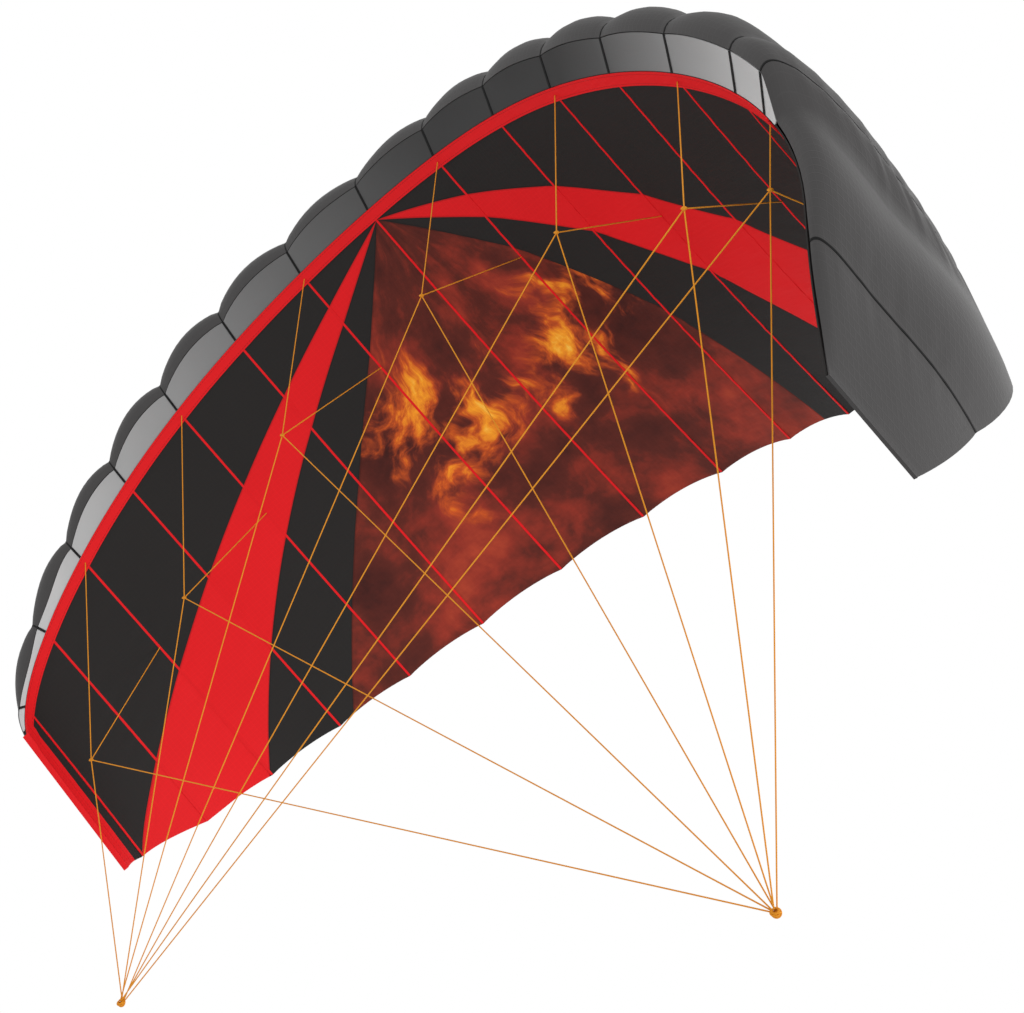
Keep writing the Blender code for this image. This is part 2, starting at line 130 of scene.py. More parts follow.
@dataclass(frozen=True)
class WingForm:
    """Sizes of the arched wing, in metres, and the places on its two skins.

    A curve over the span is a tuple of factors for rising powers of the arc's share of share_arc.
    """

    # Ribs and tip edges along the arch.
    centre_pitch: float = 0.1045
    pitch_loss: float = 0.00236
    left_tip_arc: float = -0.6385
    right_tip_arc: float = 0.7574
    first_rib: int = -7
    last_rib: int = 8
    end_rib_arcs: dict[int, float] = field(
        default_factory=lambda: {-7: -0.6098, -6: -0.5383, 7: 0.58, 8: 0.6873}
    )
    # The arch's turn in degrees, and the wing's place.
    share_arc: float = 0.6658
    arch_turn: tuple[float, ...] = (0.0, 101.4, 0.0, -140.0, 0.0, 147.1, 0.0)
    left_end_turn: float = 34.7
    right_end_turn: float = -7.6
    arch_steps: int = 400
    nose_down: float = math.radians(29.5)
    wing_place: Triple = (0.0, -0.082, 0.736)
    # Front and back edges.
    lip_sweep: tuple[float, ...] = (0.0, 0.0, 0.1457, 0.0, 0.0534)
    edge_sweep: tuple[float, ...] = (0.4190, 0.0, -0.0586, 0.0, -0.0057)
    edge_rise: tuple[float, ...] = (0.0428, 0.0, -0.0293)
    right_tip_sweep: float = -0.0091
    left_end_trim: Triple = (-0.018, 0.77, 0.18)
    right_end_trim: Triple = (0.0141, 0.794, 0.252)
    edge_wave: float = 0.0025
    edge_scallop: float = 0.004
    right_tip_scallop: float = -0.003
    # The nose over the air intake.
    nose_rise: tuple[float, ...] = (0.0101, 0.0, 0.0063)
    nose_pull: tuple[float, float] = (-0.075, 0.085)
    closed_front_run: float = 0.016
    closed_front_lean: float = 0.3
    lip_forward: float = 0.0259
    left_lip_loss: float = 0.9
    left_lip_bulge: float = 0.005
    left_nose_pull: float = -0.04
    left_nose_run: float = 0.3
    left_nose_curl: Triple = (0.6, 0.65, 0.20)
    curl_reach: float = 0.8
    # The section, in shares of its chord, and the billows.
    parting: float = 0.0027
    thickness_share: float = 0.16
    crest_share: float = 0.27
    crest_pulls: tuple[float, float] = (-0.17, 0.24)
    edge_pull: tuple[float, float] = (-0.33, 0.30)
    belly_share: float = 0.012
    upper_billow_share: float = 0.12
    lower_billow_share: float = 0.05
    swell: tuple = ((0.0, 0.15, 0.5, 0.8, 1.0), (0.40, 1.0, 0.85, 0.5, 0.0))
    nose_share: float = 3.0 / 7.0
    right_tip_billow: float = 0.03
    right_tip_flat: tuple[float, float] = (0.50, 0.027)
    bulge_power: float = 0.8
    closing_power: int = 10
    # Gathers beside the seams.
    pucker_pitch: float = 0.021
    pucker_reach: float = 0.013
    pucker_depth: float = 0.0007
    pucker_start: float = 0.003
    pucker_end: float = 0.052
    # Shift of the waves a rib, then rate and height of the second wave beside those of the first.
    pucker_shift: float = 1.7
    second_pucker: tuple[float, float] = (1.62, 0.5)
    # Share of the section at either end where they fade, and their height on the lower skin.
    pucker_fade: float = 0.25
    lower_pucker_share: float = 0.8

    def ribs(self) -> range:
        """Numbers of the ribs, from the left to the right."""
        return range(self.first_rib, self.last_rib + 1)

    def rib_arc(self, rib: int) -> float:
        """Arc length of a rib or, past the last rib, of that side's tip edge.

        Args:
            rib: The rib's number.

        Returns:
            The arc length, in metres from the centre rib.
        """
        if rib < self.first_rib:
            return self.left_tip_arc
        if rib > self.last_rib:
            return self.right_tip_arc
        return self.end_rib_arcs.get(rib, rib * (self.centre_pitch - self.pitch_loss * abs(rib)))

    def stations(self, steps: int) -> list[Station]:
        """Stations from the left tip edge to the right one.

        Args:
            steps: Steps across each cell.

        Returns:
            The stations in order, the ribs and both tip edges among them.
        """
        found = []
        for rib in range(self.first_rib - 1, self.last_rib + 1):
            start, end = self.rib_arc(rib), self.rib_arc(rib + 1)
            places = [step / steps for step in range(steps)]
            if rib == self.last_rib - 1:
                closed = self.closed_front_run / (end - start)
                places = sorted({*places, *(closed * step / steps for step in range(steps + 1))})
            for place in places:
                found.append(Station(start + (end - start) * place, end - start, place))
        found.append(Station(self.right_tip_arc))
        return found

    def arch_frame(self, arc: float) -> Pair:
        """Point of the arch and the outward normal at an arc length from the centre rib.

        Args:
            arc: The arc length.

        Returns:
            The point and the unit normal, in the wing's frame.
        """
        turns = (*self.arch_turn, self.left_end_turn if arc < 0 else self.right_end_turn)
        side = -1.0 if arc < 0 else 1.0
        step = abs(arc) / self.arch_steps
        middles = (np.arange(self.arch_steps) + 0.5) * step / self.share_arc
        angles = np.radians(polyval(np.minimum(middles, 1.0), turns))
        end = math.radians(polyval(min(abs(arc) / self.share_arc, 1.0), turns))
        point = np.array((side * np.cos(angles).sum() * step, 0.0, -np.sin(angles).sum() * step))
        return point, np.array((side * math.sin(end), 0.0, math.cos(end)))

    def tip_axes(self, arc: float) -> Pair:
        """Directions at an arc length, in the kite's frame: on along the span, and outward.

        Args:
            arc: The arc length.

        Returns:
            Both unit vectors.
        """
        _, normal = self.arch_frame(arc)
        along = np.array((math.copysign(normal[2], arc), 0.0, -abs(normal[0])))
        turn = np.array(self.attitude().to_3x3())
        return turn @ along, turn @ normal

    def attitude(self) -> Matrix:
        """Matrix from the wing's frame to the kite's."""
        return Matrix.Translation(self.wing_place) @ Matrix.Rotation(-self.nose_down, 4, "X")

    def place_line(self, arc: float, line: Array) -> Array:
        """Carry a section line to its place on the kite.

        Args:
            arc: Arc length of the section.
            line: Rows of (y, n) in the section's plane.

        Returns:
            The same rows as points in the kite's frame.
        """
        base, normal = self.arch_frame(arc)
        points = base + line[:, :1] * np.array((0.0, 1.0, 0.0)) + line[:, 1:] * normal
        turn = np.array(self.attitude().to_3x3())
        return points @ turn.T + np.array(self.wing_place)

    def puckers(self, arc: float, along: Array) -> Array:
        """Small gathers beside each rib's seam.

        Args:
            arc: Arc length of the section.
            along: Distance along the section of each point.

        Returns:
            How far each point is pushed out, in metres.
        """
        push = np.zeros_like(along)
        faster, weaker = self.second_pucker
        for rib in self.ribs():
            away = abs(arc - self.rib_arc(rib))
            if away > self.pucker_end:
                continue
            fade = math.exp(-away / self.pucker_reach) * min(1.0, away / self.pucker_start)
            phase = 2.0 * math.pi * along / self.pucker_pitch + self.pucker_shift * rib
            push += self.pucker_depth * fade * (np.sin(phase) + weaker * np.sin(faster * phase + rib))
        return push


class Section:
    """The wing's section at one station, in its own plane: Y along the chord and N outward."""

    def __init__(self, form: WingForm, station: Station) -> None:
        """Work out the section's main points.

        Args:
            form: The wing's sizes.
            station: Where along the span the section is.
        """
        self.form, self.station = form, station
        arc, share = station.arc, station.arc / form.share_arc
        tip = form.right_tip_arc if arc > 0 else form.left_tip_arc
        last_open = form.rib_arc(form.last_rib - 1)
        past = max(0.0, arc - last_open)
        left = max(0.0, -share)
        near = min(1.0, left / form.left_nose_run)
        self.bulge = math.sin(math.pi * station.place) ** form.bulge_power
        self.closing = 1.0 - (arc / tip) ** form.closing_power
        self.open = self.closing * (1.0 - ease(past / form.closed_front_run))
        self.billow = (form.right_tip_billow if past else station.width) * self.closing * self.bulge
        flat, run = form.right_tip_flat
        self.rise = form.thickness_share * self.closing * (1.0 - flat * ease(past / run))

        lip_y = polyval(share, form.lip_sweep)
        lip_y += form.right_tip_sweep * ease(past / (form.right_tip_arc - last_open))
        trim, start, run = form.left_end_trim if arc < 0 else form.right_end_trim
        edge_y = polyval(share, form.edge_sweep) + trim * ease((abs(share) - start) / run)
        wave = self.bulge * min(1.0, station.width / form.centre_pitch)
        scallop = form.right_tip_scallop if past else form.edge_scallop
        edge_n = polyval(share, form.edge_rise) + form.edge_wave * wave
        self.lip = np.array((lip_y, 0.0))
        self.edge = np.array((edge_y - scallop * wave, edge_n))
        self.chord = edge_y - lip_y

        pull_y, pull_n = form.nose_pull
        self.nose_pull = np.array((pull_y + form.left_nose_pull * near, pull_n))
        forward = form.lip_forward * (1.0 - form.left_lip_loss * left * left)
        forward += form.left_lip_bulge * self.bulge * near
        nose_n = form.parting + (polyval(share, form.nose_rise) - form.parting) * self.open
        front = np.array((-forward * self.open, nose_n))
        curl, start, run = form.left_nose_curl
        curl *= self.bulge * ease((left - start) / run) if arc > form.rib_arc(form.first_rib) else 0.0
        self.nose = self.lip + front * (1.0 - curl)
        self.nose_reach = self.lip + front * (1.0 + form.curl_reach * curl)

    def lower(self, shares: Array) -> Array:
        """Outer line of the lower skin at shares of the chord, 0 at the lip.

        Args:
            shares: The shares, in any order.

        Returns:
            One (y, n) row a share.
        """
        shares = np.asarray(shares, float)
        form = self.form
        points = self.lip + shares[:, None] * (self.edge - self.lip)
        arch = np.sin(np.pi * np.clip(shares, 0.0, 1.0))
        belly = form.belly_share * self.chord * self.closing + form.lower_billow_share * self.billow
        gathers = form.puckers(self.station.arc, shares * self.chord) * np.sqrt(arch) * self.closing
        points[:, 1] -= belly * arch - form.lower_pucker_share * gathers
        return points

    def upper_rib_line(self, nose_steps: int, back_steps: int) -> Array:
        """Outer line of the upper skin on a rib, from the upper lip to the trailing edge.

        Args:
            nose_steps: Steps over the nose.
            back_steps: Steps from the crest to the back.

        Returns:
            Rows of (y, n).
        """
        form, chord, shut = self.form, self.chord, 1.0 - self.closing
        crest = self.lip + form.crest_share * (self.edge - self.lip)
        crest[1] += self.rise * chord + form.parting
        end = self.edge + np.array((0.0, form.parting))
        nose_pull = self.nose_reach + chord * self.closing * self.nose_pull
        nose_pull += shut * form.closed_front_lean * (crest - self.nose)
        lean = shut * (self.edge - self.lip)[1] / chord
        front_pull, back_pull = (crest + pull * chord * np.array((1.0, lean)) for pull in form.crest_pulls)
        pull, drop = form.edge_pull
        edge_pull = end + pull * chord * np.array((1.0, lean - drop * self.closing))
        front = bezier((self.nose, crest), (nose_pull, front_pull), nose_steps)
        back = bezier((crest, end), (back_pull, edge_pull), back_steps)
        return np.vstack((front, back[1:]))

    def upper(self, nose_steps: int, back_steps: int) -> Array:
        """Outer line of the upper skin at this station, with the cell's bulge and gathers.

        Args:
            nose_steps: Steps over the nose.
            back_steps: Steps from the crest to the back.

        Returns:
            Rows of (y, n).
        """
        form = self.form
        line = self.upper_rib_line(nose_steps, back_steps)
        front = np.linspace(0.0, form.nose_share, nose_steps + 1)
        reach = np.concatenate((front, np.linspace(form.nose_share, 1.0, back_steps + 1)[1:]))
        fade = np.sqrt(np.clip(np.minimum(reach, 1.0 - reach) / form.pucker_fade, 0.0, 1.0)) * self.closing
        push = form.upper_billow_share * self.billow * np.interp(reach, *form.swell)
        push += form.puckers(self.station.arc, run_along(line)) * fade
        return line + outward(line) * push[:, None]


# ---------------------------------------------------------------- finishes


class Tree:
    """A node tree with short calls for adding and joining nodes."""

    def __init__(self, tree: NodeTree) -> None:
        """Keep the tree to build in."""
        self.tree = tree

    def node(self, kind: str, **settings: object) -> Node:
        """Add a node and set its properties.

        Args:
            kind: The node's type name.
            **settings: Properties to set on it.

        Returns:
            The new node.
        """
        made = self.tree.nodes.new(kind)
        for name, value in settings.items():
            setattr(made, name, value)
        return made

    def put(self, socket: NodeSocket, value: object) -> None:
        """Join an output to an input, or set the input's own value.

        Args:
            socket: The input.
            value: An output, or a plain value.
        """
        if isinstance(value, NodeSocket):
            self.tree.links.new(value, socket)
        else:
            socket.default_value = value

    def _fed(self, made: Node, values: dict[int | str, object]) -> NodeSocket:
        """Feed a node's inputs and return its first output.

        Args:
            made: The node.
            values: What feeds each input, by its name or number.

        Returns:
            The output.
        """
        for name, value in values.items():
            self.put(made.inputs[name], value)
        return made.outputs[0]

    def math(self, operation: str, *values: object, clamp: bool = False) -> NodeSocket:
        """Add a Math node and return its result."""
        made = self.node("ShaderNodeMath", operation=operation, use_clamp=clamp)
        return self._fed(made, dict(enumerate(values)))

    def total(self, parts: Iterable[tuple[object, float]]) -> NodeSocket:
        """Sum of several parts, each times its gain.

        Args:
            parts: Each part with its gain.

        Returns:
            The sum.
        """
        first, *others = (self.math("MULTIPLY", *part) for part in parts)
        for part in others:
            first = self.math("ADD", first, part)
        return first

    def saw(self, value: object, pitch: object) -> NodeSocket:
        """Distance from the middle of each repeat: 0.5 at its ends and 0 halfway."""
        turns = self.math("FRACT", self.math("DIVIDE", value, pitch))
        return self.math("ABSOLUTE", self.math("SUBTRACT", turns, 0.5))

    def mix(self, factor: object, first: object, second: object, how: str = "MIX") -> NodeSocket:
        """Blend two colours and return the result.

        Args:
            factor: Share of the second colour.
            first: The first colour.
            second: The second colour.
            how: The way of blending.

        Returns:
            The blended colour.
        """
        made = self.node("ShaderNodeMix", data_type="RGBA", blend_type=how, clamp_factor=True)
        self._fed(made, {0: factor, 6: first, 7: second})
        return made.outputs[2]

    def shade(self, colour: object, tone: object) -> NodeSocket:
        """A colour times a tone."""
        return self.mix(1.0, colour, tone, "MULTIPLY")

    def step(self, value: object, low: float, high: float) -> NodeSocket:
        """A smooth rise from 0 at low to 1 at high."""
        made = self.node("ShaderNodeMapRange", interpolation_type="SMOOTHSTEP")
        return self._fed(made, {0: value, 1: low, 2: high})

    def noise(self, vector: object, scale: float, detail: float = 3.0, rough: float = 0.5) -> NodeSocket:
        """Soft noise between 0 and 1 at a scale in features a metre.

        Args:
            vector: Where it is read.
            scale: Features a metre.
            detail: Number of finer layers.
            rough: Strength of the finer layers.

        Returns:
            The noise.
        """
        made = self.node("ShaderNodeTexNoise")
        self._fed(made, {"Vector": vector, "Scale": scale, "Detail": detail, "Roughness": rough})
        return made.outputs["Fac"]

    def ramp(self, factor: object, stops: tuple) -> NodeSocket:
        """A colour ramp through stops of (place, red, green, blue).

        Args:
            factor: Place on the ramp.
            stops: The stops, in order.

        Returns:
            The colour there.
        """
        made = self.node("ShaderNodeValToRGB")
        elements = made.color_ramp.elements
        while len(elements) < len(stops):
            elements.new(0.5)
        for element, (place, *colour) in zip(elements, stops):
            element.position = place
            element.color = (*colour, 1.0)
        return self._fed(made, {0: factor})

    def group(self, group: NodeTree, **values: object) -> Node:
        """Place a node group and set its inputs by name.

        Args:
            group: The group.
            **values: What feeds each input.

        Returns:
            The node.
        """
        made = self.node("ShaderNodeGroup", node_tree=group)
        self._fed(made, {name.replace("_", " "): value for name, value in values.items()})
        return made

    def split(self, vector: object) -> tuple[NodeSocket, NodeSocket]:
        """The first two parts of a vector.

        Args:
            vector: The vector.

        Returns:
            Both parts.
        """
        made = self.node("ShaderNodeSeparateXYZ")
        self.put(made.inputs[0], vector)
        return made.outputs[0], made.outputs[1]

    def radius(self, first: object, second: object) -> NodeSocket:
        """Distance from the origin."""
        squares = [self.math("POWER", part, 2.0) for part in (first, second)]
        return self.math("SQRT", self.math("ADD", *squares))

    def laid(self, name: str) -> NodeSocket:
        """The piece's own coordinates of that name."""
        return self.node("ShaderNodeUVMap", uv_map=name).outputs[0]

    def place(self) -> NodeSocket:
        """Place on the kite, in metres."""
        return self.node("ShaderNodeTexCoord").outputs["Object"]

    def across_span(self) -> NodeSocket:
        """Place on the kite, turned so that its first two parts are across the span."""
        turned = self.node("ShaderNodeMapping", vector_type="POINT")
        return self._fed(turned, {"Vector": self.place(), "Rotation": (0.0, math.pi / 2.0, 0.0)})


class Groups:
    """The effects that several materials share, each a node group built once."""

    # Ripstop: where the thick threads lie in each square, then noise scale and detail.
    thick_thread: tuple[float, float] = (0.42, 0.49)
    folds: tuple[float, float] = (55.0, 4.0)
    crinkle: tuple[float, float] = (420.0, 2.0)
    clouds: tuple[float, float] = (9.0, 3.0)
    # What the threads, the folds and the crinkle add to its height, and its least tone with what
    # the threads and the clouds add to that.
    heights: Triple = (0.30, 0.8, 0.25)
    base_tone: float = 0.90
    tones: tuple[float, float] = (0.07, 0.14)
    # Stitches: half the share of the pitch that the thread covers.
    half_stitch: float = 0.36
    # Sunburst: the apex behind the front edge, softness of its edges and reach of its joins.
    apex: float = 0.0125
    crisp: float = 0.012
    join: tuple[float, float] = (0.10, 0.04)
    least_reach: float = 0.0001
    # Flames: scale, detail and roughness of the tongues and of the clouds behind them.
    tongue_noise: Triple = (1.9, 6.0, 0.58)
    cloud_noise: Triple = (7.0, 5.0, 0.6)
    sway_scale: float = 9.0
    # How far the sway moves the tongues round and out, and how fast they change that way.
    sway_moves: tuple[float, float] = (1.3, 0.6)
    tongue_rates: tuple[float, float] = (2.4, 5.5)
    # The glow's ring: its radius, its waver, the fall of heat beside it and where it shows.
    ring: float = 0.235
    ring_waver: float = 0.16
    ring_fall: float = 2.0
    glow_start: tuple[float, float] = (0.40, 0.54)

    def __init__(self) -> None:
        """Build every group."""
        self.ripstop = self._ripstop()
        self.stitches = self._stitches()
        self.sunburst = self._sunburst()
        self.flames = self._flames()

    @staticmethod
    def _start(name: str, inputs: dict[str, float | None], *outputs: str) -> tuple[Tree, dict, dict]:
        """Make an empty group.

        Args:
            name: The group's name.
            inputs: Each input's name with its first value, or with None for a vector.
            *outputs: Names of the outputs, numbers all but one called Color.

        Returns:
            The tree, its input sockets by name and its output sockets by name.
        """
        group = bpy.data.node_groups.new(name, "ShaderNodeTree")
        for label, value in inputs.items():
            kind = "NodeSocketVector" if value is None else "NodeSocketFloat"
            socket = group.interface.new_socket(name=label, in_out="INPUT", socket_type=kind)
            if value is not None:
                socket.default_value = value
        for label in outputs:
            kind = "NodeSocketColor" if label == "Color" else "NodeSocketFloat"
            group.interface.new_socket(name=label, in_out="OUTPUT", socket_type=kind)
        tree = Tree(group)
        entry, leave = tree.node("NodeGroupInput"), tree.node("NodeGroupOutput")
        return tree, {s.name: s for s in entry.outputs}, {s.name: s for s in leave.inputs}

    def _ripstop(self) -> NodeTree:
        """Thin cloth with a grid of thicker threads: its height and its small changes of tone.

        Returns:
            The finished group.
        """
        inputs = {"Vector": None, "Grid": 0.005}
        tree, given, out = self._start("ripstop weave", inputs, "Height", "Tone")
        flat = given["Vector"]
        squares = [tree.saw(part, given["Grid"]) for part in tree.split(flat)]
        lines = tree.math("MAXIMUM", *(tree.step(part, *self.thick_thread) for part in squares))
        soft, crinkle, cloudy = (tree.noise(flat, *kind) for kind in (self.folds, self.crinkle, self.clouds))
        tree.put(out["Height"], tree.total(zip((lines, soft, crinkle), self.heights)))
        tone = tree.total(zip((lines, cloudy), self.tones))
        tree.put(out["Tone"], tree.math("ADD", tone, self.base_tone))
        return tree.tree

    def _stitches(self) -> NodeTree:
        """One row of stitches: 1 on the thread and 0 off it.

        Returns:
            The finished group.
        """
        inputs = {"Along": 0.0, "Across": 0.0, "Row": 0.002, "Pitch": 0.0034, "Half Width": 0.00022}
        tree, given, out = self._start("stitch row", inputs, "Mask")
        on_stitch = tree.math("LESS_THAN", tree.saw(given["Along"], given["Pitch"]), self.half_stitch)
        away = tree.math("ABSOLUTE", tree.math("SUBTRACT", given["Across"], given["Row"]))
        on_row = tree.math("LESS_THAN", away, given["Half Width"])
        tree.put(out["Mask"], tree.math("MULTIPLY", on_stitch, on_row))
        return tree.tree

    def _sunburst(self) -> NodeTree:
        """Masks of the sunburst that spreads over the flat cloth from the middle of the front edge.

        Returns:
            The finished group.
        """
        tree, given, out = self._start("sunburst", {"Vector": None}, "Rays", "Fan", "Joins")
        # The rays' outer edge, their inner edge and the fan's edge, left then right. Each is an
        # angle from the chord in degrees at the apex, its gain a metre and its gain a square metre.
        edges = (
            ((73.0, -17.0, 0.0), (72.0, -20.0, 0.0)),
            ((62.0, -8.0, -17.0), (58.0, 0.0, -38.0)),
            ((46.3, 3.0, -17.0), (45.5, 5.0, -68.0)),
        )
        across, back = tree.split(given["Vector"])
        back = tree.math("SUBTRACT", back, self.apex)
        width = tree.math("ABSOLUTE", across)
        ahead = tree.math("MAXIMUM", back, self.least_reach)
        angle = tree.math("DEGREES", tree.math("ARCTAN2", width, ahead))
        reach = tree.radius(width, back)
        on_right = tree.math("GREATER_THAN", across, 0.0)
        inside, joins = [], []
        for pair in edges:
            slopes = [tree.math("ADD", gain, tree.math("MULTIPLY", reach, bend)) for _, gain, bend in pair]
            left, right = (tree.math("MULTIPLY_ADD", reach, slopes[i], pair[i][0]) for i in (0, 1))
            chosen = tree.math("MULTIPLY_ADD", on_right, tree.math("SUBTRACT", right, left), left)
            past = tree.math("MULTIPLY", tree.math("SUBTRACT", chosen, angle), reach)
            inside.append(tree.step(past, -self.crisp, self.crisp))
            joins.append(tree.step(tree.math("ABSOLUTE", past), *self.join))
        tree.put(out["Rays"], tree.math("SUBTRACT", inside[0], inside[1], clamp=True))
        tree.put(out["Fan"], inside[2])
        tree.put(out["Joins"], tree.math("MAXIMUM", joins[0], tree.math("MAXIMUM", joins[1], joins[2])))
        return tree.tree

    def _flames(self) -> NodeTree:
        """A plain design of flame tongues that fan out from the middle of the front edge.

        Returns:
            The finished group.
        """
        tree, given, out = self._start("flame tongues", {"Vector": None}, "Color")
        flat = given["Vector"]
        across, back = tree.split(flat)
        reach = tree.radius(across, back)
        angle = tree.math("ARCTAN2", across, tree.math("MAXIMUM", back, self.least_reach))
        sway = tree.math("SUBTRACT", tree.noise(flat, self.sway_scale), 0.5)
        turned = tree.node("ShaderNodeCombineXYZ")
        for i, (part, rate, move) in enumerate(zip((angle, reach), self.tongue_rates, self.sway_moves)):
            moved = tree.math("MULTIPLY_ADD", sway, move, tree.math("MULTIPLY", part, rate))
            tree.put(turned.inputs[i], moved)
        tongues = tree.noise(turned.outputs[0], *self.tongue_noise)
        clouds = tree.noise(flat, *self.cloud_noise)
        base = tree.ramp(
            tree.math("MULTIPLY_ADD", tree.math("SUBTRACT", tongues, 0.5), 0.5, clouds),
            (
                (0.30, 0.045, 0.010, 0.008),
                (0.46, 0.105, 0.018, 0.012),
                (0.58, 0.270, 0.030, 0.017),
                (0.72, 0.460, 0.060, 0.025),
            ),
        )
        # The glow is strongest on a wavering ring round the apex.
        away = tree.math("SUBTRACT", reach, tree.math("MULTIPLY_ADD", sway, self.ring_waver, self.ring))
        heat = tree.math("MULTIPLY", tree.math("ABSOLUTE", away), self.ring_fall)
        heat = tree.math("SUBTRACT", tongues, heat)
        glow = tree.ramp(
            heat,
            (
                (0.40, 0.300, 0.034, 0.016),
                (0.50, 0.620, 0.100, 0.014),
                (0.57, 0.900, 0.330, 0.020),
                (0.66, 1.000, 0.720, 0.130),
                (0.74, 1.000, 0.930, 0.560),
            ),
        )
        tree.put(out["Color"], tree.mix(tree.step(heat, *self.glow_start), base, glow))
        return tree.tree


@dataclass(frozen=True)
class Finish:
    """Colour, roughness and gloss of one plain cloth."""

    name: str
    colour: Triple
    roughness: float = 0.5
    gloss: float = 0.12

    @property
    def rgba(self) -> tuple[float, ...]:
        """The colour with full cover."""
        return (*self.colour, 1.0)


class Coat(Tree):
    """The node tree of one material, with its Principled node."""

    strength: float = 0.4

    def __init__(self, finish: Finish, name: str | None = None) -> None:
        """Make the material with the finish's own constants set.

        Args:
            finish: Its colour, roughness and gloss.
            name: Its name, if it isn't the finish's own.
        """
        self.material = bpy.data.materials.new(name or finish.name)
        self.material.use_nodes = True
        super().__init__(self.material.node_tree)
        self.shader = self.tree.nodes["Principled BSDF"]
        self.shader.inputs["Base Color"].default_value = finish.rgba
        self.shader.inputs["Roughness"].default_value = finish.roughness
        self.shader.inputs["Specular IOR Level"].default_value = finish.gloss

    def dress(self, colour: NodeSocket, height: NodeSocket, depth: float) -> Material:
        """Feed the shader a colour, and a height of 1 that stands for a depth in metres.

        Args:
            colour: What feeds the colour.
            height: What feeds the relief.
            depth: How deep a height of 1 is.

        Returns:
            The finished material.
        """
        bump = self.node("ShaderNodeBump")
        self._fed(bump, {"Strength": self.strength, "Distance": depth, "Height": height})
        self._fed(self.shader, {"Normal": bump.outputs[0], "Base Color": colour})
        return self.material


class Dye(Enum):
    """The cloths and the cord that the kite is made from, and the floor's paint."""

    UPPER = Finish("dark grey ripstop", (0.050, 0.048, 0.048), 0.55, gloss=0.2)
    LOWER = Finish("black ripstop", (0.0185, 0.0168, 0.0162), 0.60)
    RED = Finish("red ripstop", (0.690, 0.0095, 0.0130), 0.60)
    THREAD = Finish("dark red thread", (0.35, 0.006, 0.008))
    BLACK = Finish("black seam tape", (0.009, 0.009, 0.009), 0.65)
    GAUZE = Finish("intake gauze", (0.45, 0.46, 0.46), 0.75)
    CORD = Finish("braided orange cord", (0.700, 0.270, 0.018), 0.60)
    FLOOR = Finish("pale floor", (0.85, 0.85, 0.85), 0.9, gloss=0.5)


